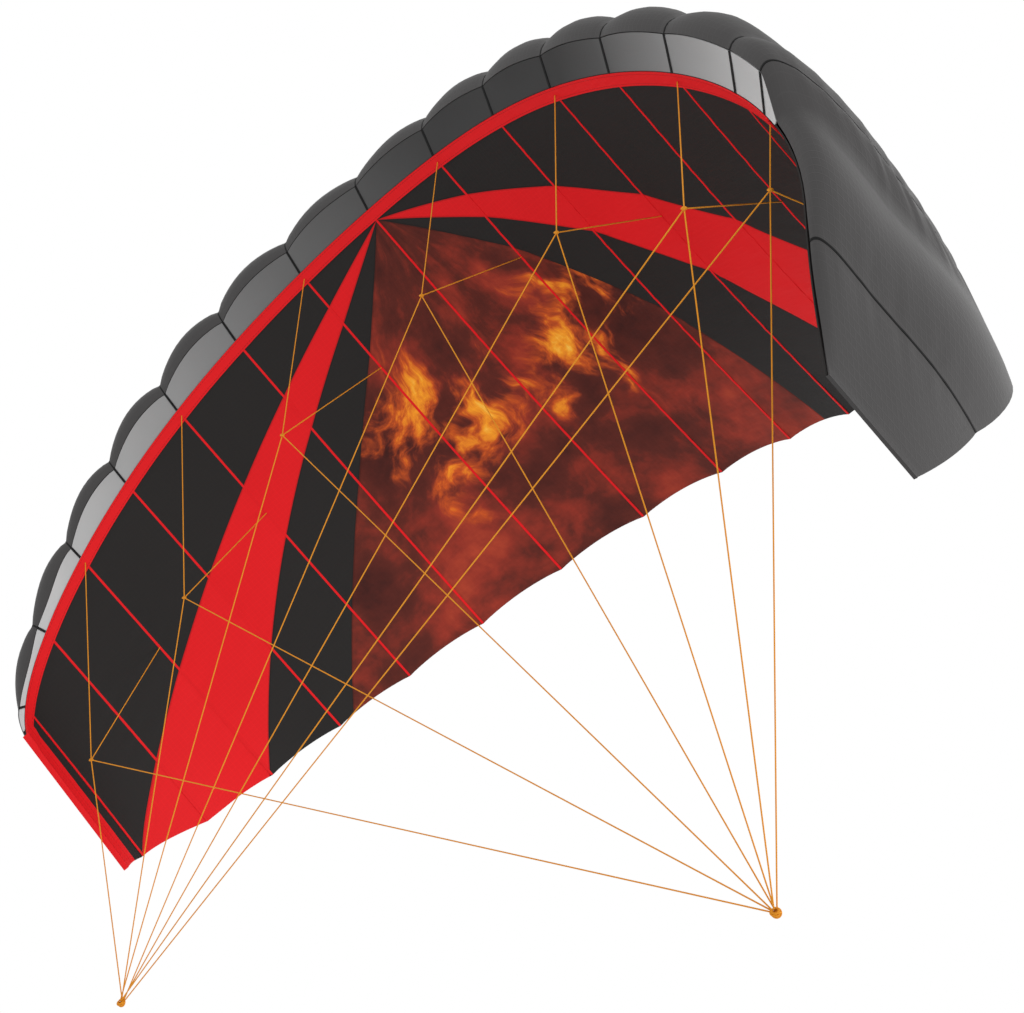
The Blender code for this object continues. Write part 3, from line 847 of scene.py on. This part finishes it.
class Wardrobe:
    """Every material of the kite, made once."""

    relief: float = 0.0006
    rib_relief: float = 0.0005
    gauze_relief: float = 0.0003
    # What a join between two patches adds to the tone and to the height.
    join_tone: float = -0.25
    join_height: float = -0.9
    binding_rows: tuple[float, float] = (0.0020, 0.0105)
    # Braid: its pitch, the strands that run each way round, its relief, and the gain and base of its painted
    # groove shade.
    braid_pitch: float = 0.0016
    braid_strands: int = 2
    braid_relief: float = 0.00015
    braid_tone: tuple[float, float] = (0.14, 0.90)
    knot_noise: tuple[float, float] = (1900.0, 2.0)
    knot_relief: float = 0.0003
    # Gain and base of the painted shade that darkens the knot where its relief sinks.
    knot_tone: tuple[float, float] = (0.4, 0.72)
    gauze_pitch: float = 0.0014
    # Arc from the left tip to the centre rib.
    gauze_left: float = 0.64
    # Place along the front edge in metres, from the left tip, and the gauze's grey there: painted shade of
    # the deep cells behind.
    gauze_tones: tuple = (
        (0.00, 0.55),
        (0.14, 0.50),
        (0.24, 0.38),
        (0.39, 0.23),
        (0.52, 0.13),
        (0.64, 0.083),
        (0.75, 0.048),
        (0.95, 0.046),
        (1.01, 0.080),
        (1.09, 0.200),
        (1.18, 0.420),
        (1.23, 0.520),
    )

    def __init__(self) -> None:
        """Build the shared groups, then the materials."""
        self.groups = Groups()
        self.upper = self._plain(Dye.UPPER.value)
        self.lower = self._lower_skin(Dye.LOWER.value)
        self.binding = self._binding(Dye.RED.value)
        self.red_tape = self._plain(Dye.RED.value, "red seam tape")
        self.black_tape = self._plain(Dye.BLACK.value)
        self.gauze = self._gauze(Dye.GAUZE.value)
        self.cord = self._cord(Dye.CORD.value)
        self.knot = self._knot(Dye.CORD.value)
        self.rib = self._plain(Dye.BLACK.value, "black rib cloth", placed=True)

    def _weave(self, coat: Coat, place: NodeSocket, **values: float) -> tuple[NodeSocket, NodeSocket]:
        """Place the ripstop group and return its height and its tone."""
        weave = coat.group(self.groups.ripstop, Vector=place, **values)
        return weave.outputs["Height"], weave.outputs["Tone"]

    def _plain(self, finish: Finish, name: str | None = None, *, placed: bool = False) -> Material:
        """One colour of ripstop with its weave and faint cloudiness.

        Args:
            finish: The cloth's colour and roughness.
            name: The material's name, if it isn't the finish's own.
            placed: Read the weave from the piece's place in the wing and not from its flat cloth.

        Returns:
            The finished material.
        """
        coat = Coat(finish, name)
        height, tone = self._weave(coat, coat.across_span() if placed else coat.laid("flat"))
        return coat.dress(coat.shade(finish.rgba, tone), height, self.rib_relief if placed else self.relief)

    def _lower_skin(self, finish: Finish) -> Material:
        """Black cloth with the red rays and the flame fan let into it.

        Args:
            finish: The cloth's colour, roughness and gloss.

        Returns:
            The finished material.
        """
        coat = Coat(finish)
        flat = coat.laid("flat")
        height, tone = self._weave(coat, flat)
        burst = coat.group(self.groups.sunburst, Vector=flat).outputs
        flames = coat.group(self.groups.flames, Vector=flat).outputs["Color"]
        colour = coat.mix(burst["Rays"], finish.rgba, Dye.RED.value.rgba)
        colour = coat.mix(burst["Fan"], colour, flames)
        join_shade = coat.math("MULTIPLY_ADD", burst["Joins"], self.join_tone, 1.0)
        colour = coat.shade(colour, coat.math("MULTIPLY", tone, join_shade))
        height = coat.math("MULTIPLY_ADD", burst["Joins"], self.join_height, height)
        return coat.dress(colour, height, self.relief)

    def _binding(self, finish: Finish) -> Material:
        """Folded red binding with a row of stitches near each edge.

        Args:
            finish: The cloth's colour, roughness and gloss.

        Returns:
            The finished material.
        """
        coat = Coat(finish)
        height, tone = self._weave(coat, coat.laid("flat"))
        along, across = coat.split(coat.laid("strip"))
        rows = [
            coat.group(self.groups.stitches, Along=along, Across=across, Row=row).outputs[0]
            for row in self.binding_rows
        ]
        thread = coat.math("MAXIMUM", *rows)
        colour = coat.mix(thread, coat.shade(finish.rgba, tone), Dye.THREAD.value.rgba)
        return coat.dress(colour, coat.math("ADD", height, thread), self.relief)

    def _gauze(self, finish: Finish) -> Material:
        """Fine light grey gauze with painted shade: pale towards the tips and painted dark over the deep
        cells in the middle.

        Args:
            finish: The cloth's colour, roughness and gloss.

        Returns:
            The finished material.
        """
        coat = Coat(finish)
        flat = coat.laid("flat")
        run, _ = self.gauze_tones[-1]
        share = coat.math("DIVIDE", coat.math("ADD", coat.split(flat)[0], self.gauze_left), run)
        # Painted shade: the grey falls along the span to near black in the middle, where the deep cells
        # behind would shade the gauze.
        colour = coat.ramp(share, tuple((place / run, tone, tone, tone) for place, tone in self.gauze_tones))
        height, tone = self._weave(coat, flat, Grid=self.gauze_pitch)
        return coat.dress(coat.shade(colour, tone), height, self.gauze_relief)

    def _cord(self, finish: Finish) -> Material:
        """Braided cord, its strands crossing in both directions, with painted shade in the grooves between
        them.

        Args:
            finish: The cord's colour, roughness and gloss.

        Returns:
            The finished material.
        """
        coat = Coat(finish)
        along, turns = coat.split(coat.laid("flat"))
        run = coat.math("MULTIPLY", along, 2.0 * math.pi / self.braid_pitch)
        turn = coat.math("MULTIPLY", turns, 2.0 * math.pi * self.braid_strands)
        waves = [coat.math("SINE", coat.math(how, run, turn)) for how in ("ADD", "SUBTRACT")]
        height = coat.math("MAXIMUM", *waves)
        # Painted shade: the colour darkens where the relief sinks, in the grooves between the strands.
        tone = coat.math("MULTIPLY_ADD", height, *self.braid_tone)
        return coat.dress(coat.shade(finish.rgba, tone), height, self.braid_relief)

    def _knot(self, finish: Finish) -> Material:
        """The same cord where it is tied, its strands read from the piece's own place, with painted shade
        where their relief sinks.

        Args:
            finish: The cord's colour, roughness and gloss.

        Returns:
            The finished material.
        """
        coat = Coat(finish, "knotted orange cord")
        strands = coat.noise(coat.place(), *self.knot_noise)
        # Painted shade: the colour darkens with the strands' relief.
        tone = coat.math("MULTIPLY_ADD", strands, *self.knot_tone)
        return coat.dress(coat.shade(finish.rgba, tone), strands, self.knot_relief)


# ---------------------------------------------------------------- making pieces


def deselect() -> None:
    """Leave nothing selected and nothing active."""
    bpy.ops.object.select_all(action="DESELECT")
    bpy.context.view_layer.objects.active = None


def quads_of(index: Array) -> Array:
    """Corners of the four-sided faces between the columns and rows of a grid of point numbers."""
    corners = (index[:-1, :-1], index[1:, :-1], index[1:, 1:], index[:-1, 1:])
    return np.stack(corners, axis=-1).reshape(-1, 4)


def new_piece(name: str, points: Array, faces: list[list[int]], material: Material) -> Object:
    """Make a mesh and its object and link it to the scene.

    Args:
        name: The piece's name.
        points: Its points, in any shape of three numbers a row.
        faces: Point numbers of each face.
        material: Its material.

    Returns:
        The new object.
    """
    mesh = bpy.data.meshes.new(name)
    mesh.from_pydata(points.reshape(-1, 3).tolist(), [], faces)
    mesh.materials.append(material)
    piece = bpy.data.objects.new(name, mesh)
    bpy.context.scene.collection.objects.link(piece)
    return piece


def hand_over(piece: Object, slot: str, *nodes: str) -> Object:
    """Ride the piece on the kite, hide the CAD nodes it stands for, and log it.

    Args:
        piece: The finished piece.
        slot: Its material slot's name; not used.
        *nodes: The CAD nodes.

    Returns:
        The same piece.
    """
    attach(piece, "root")
    if nodes:
        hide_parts(*nodes)
    LOG.info("made %s with %d faces", piece.name, len(piece.data.polygons))
    return piece


@dataclass
class Panel:
    """A grid of points that becomes one piece of cloth, with its flat coordinates."""

    points: Array
    flat: Array
    strip: Array | None = None

    def area(self) -> float:
        """Area of the grid, in square metres.

        Returns:
            The area.
        """
        grid = self.points
        normals = np.cross(grid[1:, 1:] - grid[:-1, :-1], grid[:-1, 1:] - grid[1:, :-1])
        return float(np.linalg.norm(normals, axis=2).sum() / 2.0)

    def lifted(self, distance: float) -> Panel:
        """The same panel moved along its own normals, towards its outer side.

        Args:
            distance: How far, in metres.

        Returns:
            The moved panel.
        """
        normals = np.cross(np.gradient(self.points, axis=0), np.gradient(self.points, axis=1))
        normals /= np.linalg.norm(normals, axis=2)[:, :, None]
        return Panel(self.points + normals * distance, self.flat)

    def build(self, name: str, material: Material, thickness: float, offset: float = -1.0) -> Object:
        """Make the mesh and give it its thickness.

        Args:
            name: The piece's name.
            material: Its material.
            thickness: Cloth thickness in metres.
            offset: -1 to thicken inwards, 1 outwards.

        Returns:
            The finished piece, with no modifier left on it.
        """
        columns, rows, _ = self.points.shape
        faces = quads_of(np.arange(columns * rows).reshape(columns, rows))
        piece = new_piece(name, self.points, faces.tolist(), material)
        for label, values in (("flat", self.flat), ("strip", self.strip)):
            if values is not None:
                layer = piece.data.uv_layers.new(name=label)
                layer.data.foreach_set("uv", values.reshape(-1, 2)[faces.ravel()].ravel())
        deselect()
        piece.select_set(True)
        bpy.context.view_layer.objects.active = piece
        solidify = piece.modifiers.new("cloth thickness", "SOLIDIFY")
        solidify.thickness = thickness
        solidify.offset = offset
        solidify.use_even_offset = True
        bpy.ops.object.modifier_apply(modifier=solidify.name)
        bpy.ops.object.shade_smooth_by_angle(angle=CLOTH_CREASE)
        return piece


def rib_label(rib: int) -> str:
    """A rib's name without its first word: centre, or its side and number."""
    return "centre" if rib == 0 else f"{'left' if rib < 0 else 'right'}_{abs(rib)}"


@dataclass
class Wing:
    """The cloth of the wing: two skins, binding, gauze and seam tapes."""

    form: WingForm
    wardrobe: Wardrobe
    # Steps across a cell, and rows over the nose, behind it and along the lower skin.
    steps: int = 12
    nose_steps: int = 20
    back_steps: int = 92
    lower_steps: int = 84
    band_rows: int = 4
    cloth: float = 0.0011
    trim_gap: float = 0.00025
    # Bindings.
    band_width: float = 0.0125
    tip_band_width: float = 0.0145
    band_thickness: float = 0.0009
    band_past_intake: float = 0.004
    band_fold: float = 0.0012
    # Rows before the front end where the left one starts and ends its climb over the front one.
    band_climb: tuple[int, int] = (9, 5)
    right_band_inset: float = 0.0015
    stitch_shift: float = -0.0035
    # Seam tapes: widths, lifts off the cloth, where they end and how many rows they have.
    tape_width: float = 0.0023
    seam_width: float = 0.0014
    tape_thickness: float = 0.0004
    tape_run: float = 0.4
    lower_tape_lift: float = 0.0001
    lower_tape_end: float = 0.998
    lower_tape_rows: int = 60
    upper_tape_steps: tuple[int, int] = (24, 40)
    intake_tape_lift: float = 0.0003
    intake_tape_span: tuple[float, float] = (0.02, 0.98)
    intake_tape_rows: int = 5
    # Gauze.
    gauze_rows: int = 7
    gauze_thickness: float = 0.0008
    gauze_ends: tuple[float, float] = (0.0004, 0.0009)
    gauze_least: float = 0.0034
    gauze_hollow: float = 0.06
    gauze_lean: tuple[float, float] = (0.36, 0.93)

    def _swept(self, stations: list[Station], line_of: Callable) -> Panel:
        """Carry a section line to its place at each station.

        Args:
            stations: Stations in order along the span.
            line_of: Function from a section to its line and the line's flat coordinates, or to
                None where the cloth stops.

        Returns:
            The panel, its flat coordinates the arc length and those of the line.
        """
        points, flat = [], []
        for station in stations:
            found = line_of(Section(self.form, station))
            if found is not None:
                line, along = found
                points.append(self.form.place_line(station.arc, line))
                flat.append(np.column_stack((np.full(len(line), station.arc), along)))
        return Panel(np.array(points), np.array(flat))

    def upper_skin(self) -> tuple[Object, float]:
        """The billowed upper skin, from the upper lip to the trailing edge.

        Returns:
            The piece and the area of its cloth.
        """

        def whole(section: Section) -> Pair:
            """The section's upper line."""
            line = section.upper(self.nose_steps, self.back_steps)
            return line, run_along(line)

        panel = self._hem(self._swept(self.form.stations(self.steps), whole))
        piece = panel.build("upper_skin_cloth", self.wardrobe.upper, self.cloth)
        return hand_over(piece, "upper_cloth", "upper_skin"), panel.area()

    def _hem(self, panel: Panel) -> Panel:
        """Turn the upper skin down over the right tip's edges, as two more columns.

        Args:
            panel: The skin, its last column on the tip.

        Returns:
            The skin with its hem.
        """
        beyond, outer = self.form.tip_axes(self.form.right_tip_arc)
        turned = panel.points[-1] + beyond * (self.cloth + self.trim_gap)
        down = turned - outer * self.form.parting
        flat = [panel.flat[-1] + (step, 0.0) for step in (self.cloth, self.cloth + self.form.parting)]
        return Panel(np.concatenate((panel.points, (turned, down))), np.concatenate((panel.flat, flat)))

    def _lower_panel(self) -> Panel:
        """The lower skin's outer face, its rows from the trailing edge to the lip.

        Returns:
            The panel, one column a station.
        """

        def whole(section: Section) -> Pair:
            """The section's lower line, its last rows under the front binding.

            Args:
                section: The section.

            Returns:
                The line and its places along the chord.
            """
            first = self.band_width / section.chord
            front = np.linspace(first, 0.0, self.band_rows)
            line = section.lower(np.concatenate((np.linspace(1.0, first, self.lower_steps), front[1:])))
            return line, line[:, 0]

        return self._swept(self.form.stations(self.steps), whole)

    def lower_skin(self) -> tuple[Object, float]:
        """The lower skin.

        Returns:
            The piece and the area of its cloth.
        """
        panel = self._lower_panel()
        piece = panel.build("lower_skin_cloth", self.wardrobe.lower, self.cloth)
        return hand_over(piece, "lower_cloth", "lower_skin"), panel.area()

    def bindings(self) -> None:
        """The red binding along the front edge and both tip edges."""
        band = self._lower_panel().lifted(self.trim_gap)
        arcs = band.flat[:, 0, 0]
        left_end = sum(arcs < self.form.left_tip_arc + self.tip_band_width) + 1
        right_start = sum(arcs < self.form.right_tip_arc - self.tip_band_width) - 1
        front_end = sum(arcs < self.form.rib_arc(self.form.last_rib - 1) + self.band_past_intake) + 1
        cuts = {
            "leading_edge_band": (slice(0, front_end), slice(-self.band_rows, None)),
            "tip_band_left": (slice(0, left_end), slice(0, None)),
            "tip_band_right": (slice(right_start, None), slice(0, -self.band_rows)),
        }
        for name, cut in cuts.items():
            cloth = Panel(band.points[cut].copy(), band.flat[cut].copy())
            if name == "tip_band_left":
                cloth = self._fold(cloth)
            if name == "tip_band_right":
                inset = self.right_band_inset / (arcs[-1] - arcs[-2])
                cloth.points[-1] += (cloth.points[-2] - cloth.points[-1]) * inset
            cloth.strip = self._strip(cloth.flat, "tip" in name)
            piece = cloth.build(f"{name}_cloth", self.wardrobe.binding, self.band_thickness, 1.0)
            hand_over(piece, "red_cloth", name)

    def _fold(self, cloth: Panel) -> Panel:
        """Carry the left tip's binding round both skins' edges, and over the front binding.

        Args:
            cloth: The binding, the tip edge first.

        Returns:
            The same with two more columns in front, the first of them on the upper skin's side.
        """
        beyond, outer = self.form.tip_axes(self.form.left_tip_arc)
        side = cloth.points[0] + beyond * self.band_fold
        top = side + outer * (self.form.parting + 2.0 * self.trim_gap)
        rows = cloth.points.shape[1]
        ends = [rows - row for row in self.band_climb]
        climb = np.interp(np.arange(rows), ends, (0.0, 1.0))[:, None]
        under = cloth.points - outer * climb * (self.band_thickness + self.trim_gap)
        edge, over = cloth.flat[0].copy(), cloth.flat[0].copy()
        edge[:, 0] -= self.band_fold
        over[:, 0] -= self.band_fold + self.form.parting
        return Panel(np.concatenate(((top, side), under)), np.concatenate(((over, edge), cloth.flat)))

    def _strip(self, flat: Array, tip: bool) -> Array:
        """Coordinates along and across a strip of binding, in metres.

        Args:
            flat: Flat coordinates of the binding.
            tip: Whether it runs along a tip edge.

        Returns:
            The strip's coordinates.
        """
        if tip:
            side = flat[:, :, :1] - flat[:, :, 0].min()
            return np.concatenate((flat[:, :, 1:], side + self.stitch_shift), axis=2)
        depth = flat[:, :, 1:] - flat[:, -1:, 1:]
        return np.concatenate((flat[:, :, :1], depth), axis=2)

    def gauze(self) -> Object:
        """The strip of gauze that closes the air intakes.

        Returns:
            The finished strip.
        """

        def strip(section: Section) -> Pair | None:
            """Line down the gauze, or None where the front is closed.

            Args:
                section: The section.

            Returns:
                The line and its heights, or None.
            """
            low, high = section.lip, section.upper(self.nose_steps, self.back_steps)[0]
            height = float(np.linalg.norm(high - low))
            if height < self.gauze_least:
                return None
            start, end = self.gauze_ends
            shares = np.linspace(start / height, 1.0 - end / height, self.gauze_rows)
            hollow = self.gauze_hollow * height * section.bulge * np.sin(np.pi * shares)
            line = low + (high - low) * shares[:, None] + np.array(self.gauze_lean) * hollow[:, None]
            return line, shares * height

        panel = self._swept(self.form.stations(self.steps), strip)
        piece = panel.build("intake_gauze_cloth", self.wardrobe.gauze, self.gauze_thickness)
        return hand_over(piece, "gauze", "intake_gauze")

    def _tape(self, name: str, rib: int, width: float, lift: float, line_of: Callable) -> Object:
        """Sew a narrow tape over a rib: red below and black elsewhere.

        Args:
            name: The tape's name without the rib's.
            rib: The rib it is sewn over.
            width: The tape's width in metres.
            lift: How far it stands off the cloth.
            line_of: Function from a section to the line that the tape follows.

        Returns:
            The finished tape.
        """
        arc, red = self.form.rib_arc(rib), name == "lower_seam"
        rows = len(line_of(Section(self.form, Station(arc))))
        run = np.linspace(0.0, self.tape_run, rows)
        stations = [Station(arc + width * side) for side in (-0.5, 0.0, 0.5)]
        panel = self._swept(stations, lambda section: (line_of(section), run)).lifted(lift)
        material = self.wardrobe.red_tape if red else self.wardrobe.black_tape
        piece = panel.build(f"{name}_{rib_label(rib)}", material, self.tape_thickness, 1.0)
        return hand_over(piece, "red_cloth" if red else "rib_cloth")

    def seams(self) -> tuple[list[Object], ...]:
        """Tapes over every rib: red below, dark above and black across the intake.

        Returns:
            The tapes of the lower skin, of the upper skin and of the gauze.
        """
        made: tuple[list[Object], ...] = ([], [], [])
        lip_shares = np.linspace(*self.intake_tape_span, self.intake_tape_rows)[:, None]
        for rib in self.form.ribs():
            front = self.band_width / Section(self.form, Station(self.form.rib_arc(rib))).chord
            shares = np.linspace(self.lower_tape_end, front, self.lower_tape_rows)
            # Name, width, lift off the cloth and the line that is followed.
            tapes = (
                (
                    "lower_seam",
                    self.tape_width,
                    self.lower_tape_lift,
                    lambda part, shares=shares: part.lower(shares),
                ),
                ("upper_seam", self.seam_width, 0.0, lambda part: part.upper(*self.upper_tape_steps)),
                (
                    "intake_seam",
                    self.tape_width,
                    self.intake_tape_lift,
                    lambda part: part.lip + (part.nose - part.lip) * lip_shares,
                ),
            )
            for group, (name, *sizes) in zip(made, tapes):
                if name != "intake_seam" or rib != self.form.last_rib:
                    group.append(self._tape(name, rib, *sizes))
        return made

    def dress_ribs(self) -> None:
        """Give the ribs inside the wing their own black cloth."""
        for rib in self.form.ribs():
            for slot in bpy.data.objects[f"rib_{rib_label(rib)}"].material_slots:
                slot.material = self.wardrobe.rib

    def build(self) -> None:
        """Make all the cloth and dress the ribs, then log the area of both skins."""
        upper, upper_area = self.upper_skin()
        lower, lower_area = self.lower_skin()
        self.bindings()
        gauze = self.gauze()
        below, above, across = self.seams()
        self.dress_ribs()
        LOG.info("flat cloth: upper %.3f, lower %.3f square metres", upper_area, lower_area)


@dataclass
class Bridle:
    """The bridle: seven junctions with their legs, and the main lines to the two tow points."""

    form: WingForm
    wardrobe: Wardrobe
    line_radius: float = 0.0005
    knot_radius: float = 0.002
    tow_knot_radius: float = 0.0034
    knot_turns: int = 3
    tow_knot_turns: int = 6
    row_pitch: float = 0.0013
    band_cover: float = 0.00135
    front_foot: float = 0.007
    sides: int = 8
    ring_spacing: float = 0.012
    least_rings: int = 13
    # Knots: segments round and across a turn of cord, the gain in thickness at the tow knots, the
    # cord's radii between the knot's outside and the cord's middle, and the loss of each odd turn.
    knot_segments: tuple[int, int] = (28, 10)
    tow_cord: float = 1.15
    cord_inset: float = 1.05
    odd_turn_loss: float = 0.12
    # How far the turns drift, in radii of the cord, and how fast, then their first tilt and its
    # gain a turn, in radians.
    drift: float = 0.35
    drift_rates: Triple = (2.1, 1.7, 1.3)
    tilt: Triple = (0.5, 0.35, 0.0)
    tilt_gain: Triple = (1.15, 0.8, 0.9)
    # Laps: either side of a turn with its move, and the reach of a move, both in radii of the
    # cord, then the share of the turn's size past which a side starts.
    lap_moves: tuple = ((1.0, (0.0, 0.0, 0.9)), (-1.0, (0.35, 0.0, -0.5)))
    lap_reach: float = 3.0
    lap_start: float = 0.2
    tow_points: tuple = (("left", (-0.295, -0.041, 0.043)), ("right", (0.295, 0.041, -0.043)))
    # Rib, then its junction's place (x, y, z), then the rear leg's foot as a share of the chord.
    junctions: tuple = (
        (-5, -0.396, -0.059, 0.299, 0.40),
        (-3, -0.270, -0.060, 0.422, 0.37),
        (-1, -0.107, -0.078, 0.513, 0.30),
        (1, 0.108, -0.096, 0.520, 0.30),
        (3, 0.281, -0.112, 0.441, 0.37),
        (5, 0.417, -0.139, 0.327, 0.40),
        (7, 0.448, -0.086, 0.363, 0.42),
    )

    def _foot(self, rib: int, share: float, cover: float) -> Vector:
        """Where a leg meets the cloth on a rib.

        Args:
            rib: The rib's number.
            share: Share of the chord.
            cover: Thickness of what covers the cloth there.

        Returns:
            The place, in the kite's frame.
        """
        arc = self.form.rib_arc(rib)
        line = Section(self.form, Station(arc)).lower(np.array((share,)))
        line[:, 1] -= cover
        return Vector(self.form.place_line(arc, line)[0])

    def _line(self, name: str, start: Vector, end: Vector) -> None:
        """One taut line between two points, as a round tube of cord in place of its CAD line.

        Args:
            name: The cord's name.
            start: Its first end.
            end: Its far end.
        """
        length, sides = (end - start).length, self.sides
        count = max(self.least_rings, math.ceil(length / self.ring_spacing) + 1)
        centre = np.linspace(start, end, count)
        turn = (end - start).to_track_quat("Z", "Y")
        angles = np.linspace(0.0, 2.0 * math.pi, sides + 1)[:-1]
        ring = np.array([turn @ Vector((math.cos(a), math.sin(a), 0.0)) for a in angles])
        index = np.arange(count * sides).reshape(count, sides)
        index = np.concatenate((index, index[:, :1]), axis=1)
        ends = [index[0, :0:-1].tolist(), index[-1, 1:].tolist()]
        points = centre[:, None, :] + ring[None] * self.line_radius
        piece = new_piece(name, points, quads_of(index.T).tolist() + ends, self.wardrobe.cord)
        # Metres along the tube and turns round it, with a whole turn where the last side closes.
        along, around = np.linspace(0.0, length, count), np.linspace(0.0, 1.0, sides + 1)
        flat = np.stack(np.meshgrid(along, around, indexing="ij"), axis=-1).reshape(-1, 2)
        own = np.arange(count * (sides + 1)).reshape(count, sides + 1)
        corners = np.concatenate((quads_of(own.T).ravel(), own[0, :0:-1], own[-1, 1:]))
        piece.data.uv_layers.new(name="flat").data.foreach_set("uv", flat[corners].ravel())
        piece.data.shade_smooth()
        piece.data.set_sharp_from_angle(angle=CORD_CREASE)
        hand_over(piece, "bridle_cord", name.removesuffix("_cord"))

    def _lap(self, loop: Object, cord: float) -> None:
        """Pull one side of a turn up over its neighbour and draw the other side in.

        Args:
            loop: The turn of cord, still in its own frame.
            cord: Radius of the cord.
        """
        for side, move in self.lap_moves:
            far = self.lap_start * max(loop.dimensions)
            for vertex in loop.data.vertices:
                vertex.select = vertex.co.x * side > far
            bpy.ops.object.mode_set(mode="EDIT")
            bpy.ops.transform.translate(
                value=Vector(move) * cord,
                orient_type="LOCAL",
                use_proportional_edit=True,
                proportional_edit_falloff="SMOOTH",
                proportional_size=self.lap_reach * cord,
            )
            bpy.ops.object.mode_set(mode="OBJECT")

    def _knot(self, node: str, centre: Vector, radius: float, turns: int) -> None:
        """A tied knot: turns of cord wound over each other round the junction.

        Args:
            node: The CAD knot that it stands for.
            centre: Its place.
            radius: Its outer radius.
            turns: How many turns of cord it has.
        """
        cord = self.line_radius * (1.0 if turns < self.tow_knot_turns else self.tow_cord)
        major = radius - cord * self.cord_inset
        round_turn, across = self.knot_segments
        made = []
        for turn in range(turns):
            deselect()
            x, y, z = (rate * turn for rate in self.drift_rates)
            drift = Vector((math.sin(x), math.cos(y), math.sin(z)))
            bpy.ops.mesh.primitive_torus_add(
                major_radius=major * (1.0 - self.odd_turn_loss * (turn % 2)),
                minor_radius=cord,
                major_segments=round_turn,
                minor_segments=across,
                location=centre + drift * cord * self.drift,
                rotation=Vector(self.tilt) + turn * Vector(self.tilt_gain),
            )
            made.append(bpy.context.active_object)
            self._lap(made[-1], cord)
        deselect()
        for part in made:
            part.select_set(True)
        bpy.context.view_layer.objects.active = made[0]
        bpy.ops.object.join()
        bpy.ops.object.transform_apply(location=True, rotation=True, scale=True)
        bpy.ops.object.shade_smooth()
        piece = bpy.context.active_object
        piece.name = piece.data.name = f"{node}_turns"
        piece.data.materials.clear()
        piece.data.materials.append(self.wardrobe.knot)
        hand_over(piece, "bridle_cord", node)

    def build(self) -> None:
        """Make the lines first, then the knots that they run into."""
        for order, (rib, x, y, z, rear_share) in enumerate(self.junctions):
            label = rib_label(rib)
            junction = Vector((x, y, z))
            chord = Section(self.form, Station(self.form.rib_arc(rib))).chord
            front = self._foot(rib, self.front_foot / chord, self.band_cover)
            self._line(f"front_leg_{label}_cord", front, junction)
            self._line(f"rear_leg_{label}_cord", self._foot(rib, rear_share, 0.0), junction)
            for side, tow in self.tow_points:
                slot = Vector(tow) + Vector((0.0, self.row_pitch * (1 - order % 3), 0.0))
                end = slot + (junction - slot).normalized() * (0.5 * self.tow_knot_radius)
                self._line(f"main_line_{label}_to_{side}_cord", junction, end)
        for rib, x, y, z, _ in self.junctions:
            node = f"junction_knot_{rib_label(rib)}"
            self._knot(node, Vector((x, y, z)), self.knot_radius, self.knot_turns)
        for side, tow in self.tow_points:
            self._knot(f"tow_knot_{side}", Vector(tow), self.tow_knot_radius, self.tow_knot_turns)


@dataclass
class Studio:
    """Camera, lights and a plain pale floor."""

    camera_place: Triple = (0.7783, -0.6359, -0.4042)
    camera_aim: Triple = (-0.5593, 0.5382, 0.6306)
    lens: float = 52.36
    near_clip: float = 0.02
    floor_height: float = -1.3
    floor_size: float = 14.0
    light_aim: Triple = (0.0, 0.1, 0.5)
    # Each light's name, place, size in metres and power in watts.
    lights: tuple = (
        ("key light", (1.7, -1.3, 0.2), 1.6, 5.0),
        ("side light", (1.5, 0.9, -0.1), 1.0, 12.0),
        ("back light", (1.2, 1.8, 1.8), 1.8, 8.0),
    )

    def camera(self) -> None:
        """Look up at the kite from its front right, below the wing."""
        deselect()
        bpy.ops.object.camera_add(location=self.camera_place)
        camera = bpy.context.active_object
        camera.name = "viewpoint"
        camera.rotation_euler = Vector(self.camera_aim).to_track_quat("-Z", "Y").to_euler()
        camera.data.lens = self.lens
        camera.data.clip_start = self.near_clip
        bpy.context.scene.camera = camera

    def light(self, name: str, place: tuple, size: float, power: float) -> None:
        """Add one soft square light that faces the wing.

        Args:
            name: The light's name.
            place: Its place.
            size: Its side.
            power: Its watts.
        """
        deselect()
        bpy.ops.object.light_add(type="AREA", location=place)
        lamp = bpy.context.active_object
        lamp.name = name
        lamp.data.size = size
        lamp.data.energy = power
        aim = Vector(self.light_aim) - Vector(place)
        lamp.rotation_euler = aim.to_track_quat("-Z", "Y").to_euler()

    def build(self) -> None:
        """Set the floor, the lights and the sky."""
        deselect()
        bpy.ops.mesh.primitive_plane_add(size=self.floor_size, location=(0.0, 0.0, self.floor_height))
        floor = bpy.context.active_object
        floor.name = "floor"
        floor.data.materials.append(Coat(Dye.FLOOR.value).material)
        for light in self.lights:
            self.light(*light)
        sky = bpy.data.worlds.new("white sky")
        sky.use_nodes = True
        background = sky.node_tree.nodes["Background"]
        background.inputs["Color"].default_value = (1.0, 1.0, 1.0, 1.0)
        background.inputs["Strength"].default_value = 1.0
        bpy.context.scene.world = sky
        bpy.context.scene.view_settings.view_transform = "Standard"


def main() -> None:
    """Build the kite's finished pieces round its CAD frame."""
    logging.basicConfig(level=logging.INFO, format="%(name)s: %(message)s")
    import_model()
    form = WingForm()
    studio = Studio()
    studio.camera()
    wardrobe = Wardrobe()
    Bridle(form, wardrobe).build()
    Wing(form, wardrobe).build()
    studio.build()


if __name__ == "__main__":
    main()
